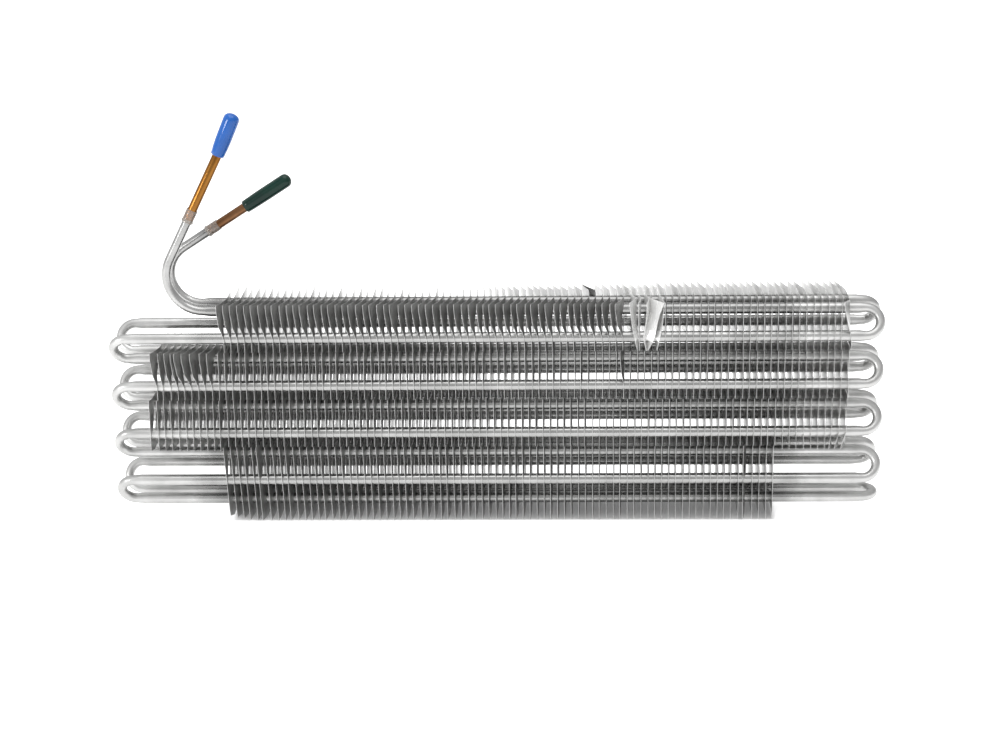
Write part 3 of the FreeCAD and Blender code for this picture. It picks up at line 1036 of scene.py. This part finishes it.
# Light tent: direction of its bright side, and its brightness away from and towards that side
TENT_TOWARDS = (-0.6, -0.2, 0.77)
TENT_FROM = (-0.3, 0.9)
TENT_TO = (0.58, 1.0)
# The sheet's glow is weaker under the coil, so that the fins keep their shadow: half sizes and fade
SHADE_MM = {"X": 240, "Y": 28}
SHADE_OFF_MIDDLE_MM = 6
SHADE_FADE_MM = 6
SHADE_GLOW = 0.18
# Soft lamps: place, turn in degrees, width and power
LAMPS = {
    "overhead": ((0.0, -0.2, 1.9), (0, 0, 0), 1.6, 14.0),
    "left": ((-2.0, -1.5, 0.8), (75, 0, -53), 0.5, 16.0),
}


def white_sheet():
    """White sheet: what is seen of it is white, and it still takes a soft shadow."""
    material, tree, output, point = new_material("white sheet")
    paper = add_node(tree, "ShaderNodeBsdfDiffuse", inputs={"Color": srgb("F4F4F4")})
    centre = (-SHADE_OFF_MIDDLE_MM * MM, 0, 0)
    centred = add_node(tree, "ShaderNodeMapping", inputs={"Location": centre}, links={"Vector": point})
    place = add_node(tree, "ShaderNodeSeparateXYZ", links={"Vector": centred.outputs["Vector"]})
    beside = [
        from_middle(tree, place.outputs[axis], (edge, edge + SHADE_FADE_MM), (SHADE_GLOW, 1.0))
        for axis, edge in SHADE_MM.items()
    ]
    clear = add_node(tree, "ShaderNodeMath", {"operation": "MAXIMUM"}, links=dict(enumerate(beside)))
    rays = add_node(tree, "ShaderNodeLightPath").outputs
    seen = rays["Is Camera Ray"]
    for kind in ("Is Glossy Ray", "Is Transmission Ray"):
        either = add_node(tree, "ShaderNodeMath", {"operation": "MAXIMUM"}, links={0: seen, 1: rays[kind]})
        seen = either.outputs["Value"]
    strength = add_node(
        tree, "ShaderNodeMath", {"operation": "MULTIPLY"}, links={0: seen, 1: clear.outputs["Value"]}
    )
    glow = add_node(
        tree,
        "ShaderNodeEmission",
        inputs={"Color": srgb("DCDCDC")},
        links={"Strength": strength.outputs["Value"]},
    )
    both = add_node(
        tree, "ShaderNodeAddShader", links={0: paper.outputs["BSDF"], 1: glow.outputs["Emission"]}
    )
    tree.links.new(both.outputs["Shader"], output.inputs["Surface"])
    return material


def light_tent():
    """Light tent: white above and to the left, a little dimmer to the right and below."""
    world = bpy.data.worlds.new("light tent")
    bpy.context.scene.world = world
    world.use_nodes = True
    tree = world.node_tree
    tree.nodes.clear()
    output = tree.nodes.new("ShaderNodeOutputWorld")
    direction = add_node(tree, "ShaderNodeTexCoord").outputs["Generated"]
    towards = add_node(
        tree, "ShaderNodeVectorMath", {"operation": "DOT_PRODUCT"}, {1: TENT_TOWARDS}, {0: direction}
    )
    tent = add_node(
        tree,
        "ShaderNodeMapRange",
        inputs={
            "From Min": TENT_FROM[0],
            "From Max": TENT_FROM[1],
            "To Min": TENT_TO[0],
            "To Max": TENT_TO[1],
        },
        links={"Value": towards.outputs["Value"]},
    )
    cloth = add_node(
        tree,
        "ShaderNodeBackground",
        inputs={"Color": (1, 1, 1, 1)},
        links={"Strength": tent.outputs["Result"]},
    )
    tree.links.new(cloth.outputs["Background"], output.inputs["Surface"])


class COIL_OT_studio(bpy.types.Operator):
    """White sheet, light tent, soft lamps and the camera"""

    bl_idname = "coil.studio"
    bl_label = "Set up the studio"

    def execute(self, context):
        deselect()
        bpy.ops.mesh.primitive_plane_add(size=SHEET_SIZE, location=(0, 0, -0.5 * MM))
        floor = context.object
        floor.name = "white_sheet"
        floor.data.materials.append(white_sheet())
        light_tent()
        for name, (place, turn, width, power) in LAMPS.items():
            rotation = [math.radians(part) for part in turn]
            bpy.ops.object.light_add(type="AREA", location=place, rotation=rotation)
            lamp = context.object
            lamp.name = f"{name}_softbox"
            lamp.data.size = width
            lamp.data.energy = power
        bpy.ops.object.camera_add(location=CAMERA_PLACE)
        camera = context.object
        camera.name = "camera"
        camera.data.lens = CAMERA_LENS
        camera.data.sensor_width = 36
        camera.data.clip_start = 0.05
        facing = (Vector(CAMERA_TARGET) - camera.location).to_track_quat("-Z", "Y").to_matrix()
        roll = Euler((0, 0, math.radians(CAMERA_ROLL))).to_matrix()
        camera.rotation_euler = (facing @ roll).to_euler()
        context.scene.camera = camera
        context.scene.view_settings.view_transform = "Standard"
        return {"FINISHED"}


class COIL_PT_sidebar(bpy.types.Panel):
    """Lists the steps that model the coil."""

    bl_idname = "COIL_PT_sidebar"
    bl_label = "Evaporator coil"
    bl_space_type = "VIEW_3D"
    bl_region_type = "UI"
    bl_category = "Coil"

    def draw(self, context):
        column = self.layout.column()
        for step in (COIL_OT_tube, COIL_OT_stubs, COIL_OT_sleeves, COIL_OT_caps):
            column.operator(step.bl_idname)
        for row in ROWS:
            column.operator(COIL_OT_fins.bl_idname, text=f"Thread row {row}").row = row
        column.operator(COIL_OT_studio.bl_idname)


GROUPS = {
    "coil_tube": CoilTube,
    "coil_ends": CoilEnds,
    "coil_fins": CoilFins,
    "coil_colours": CoilColours,
}
STEPS = (COIL_OT_tube, COIL_OT_stubs, COIL_OT_sleeves, COIL_OT_caps, COIL_OT_fins, COIL_OT_studio)
CLASSES = (*GROUPS.values(), *STEPS, COIL_PT_sidebar)


def register():
    """Register the classes and hang the sizes and colours on the scene."""
    for kind in CLASSES:
        bpy.utils.register_class(kind)
    for name, group in GROUPS.items():
        setattr(bpy.types.Scene, name, bpy.props.PointerProperty(type=group))


def unregister():
    """Take the classes, sizes and colours away again."""
    for name in GROUPS:
        delattr(bpy.types.Scene, name)
    for kind in reversed(CLASSES):
        bpy.utils.unregister_class(kind)


def main():
    """Model every piece and light it."""
    register()
    bpy.ops.coil.tube()
    bpy.ops.coil.stubs()
    bpy.ops.coil.sleeves()
    bpy.ops.coil.caps()
    for row in ROWS:
        bpy.ops.coil.fins(row=row)
    bpy.ops.coil.studio()


if __name__ == "__main__":
    main()
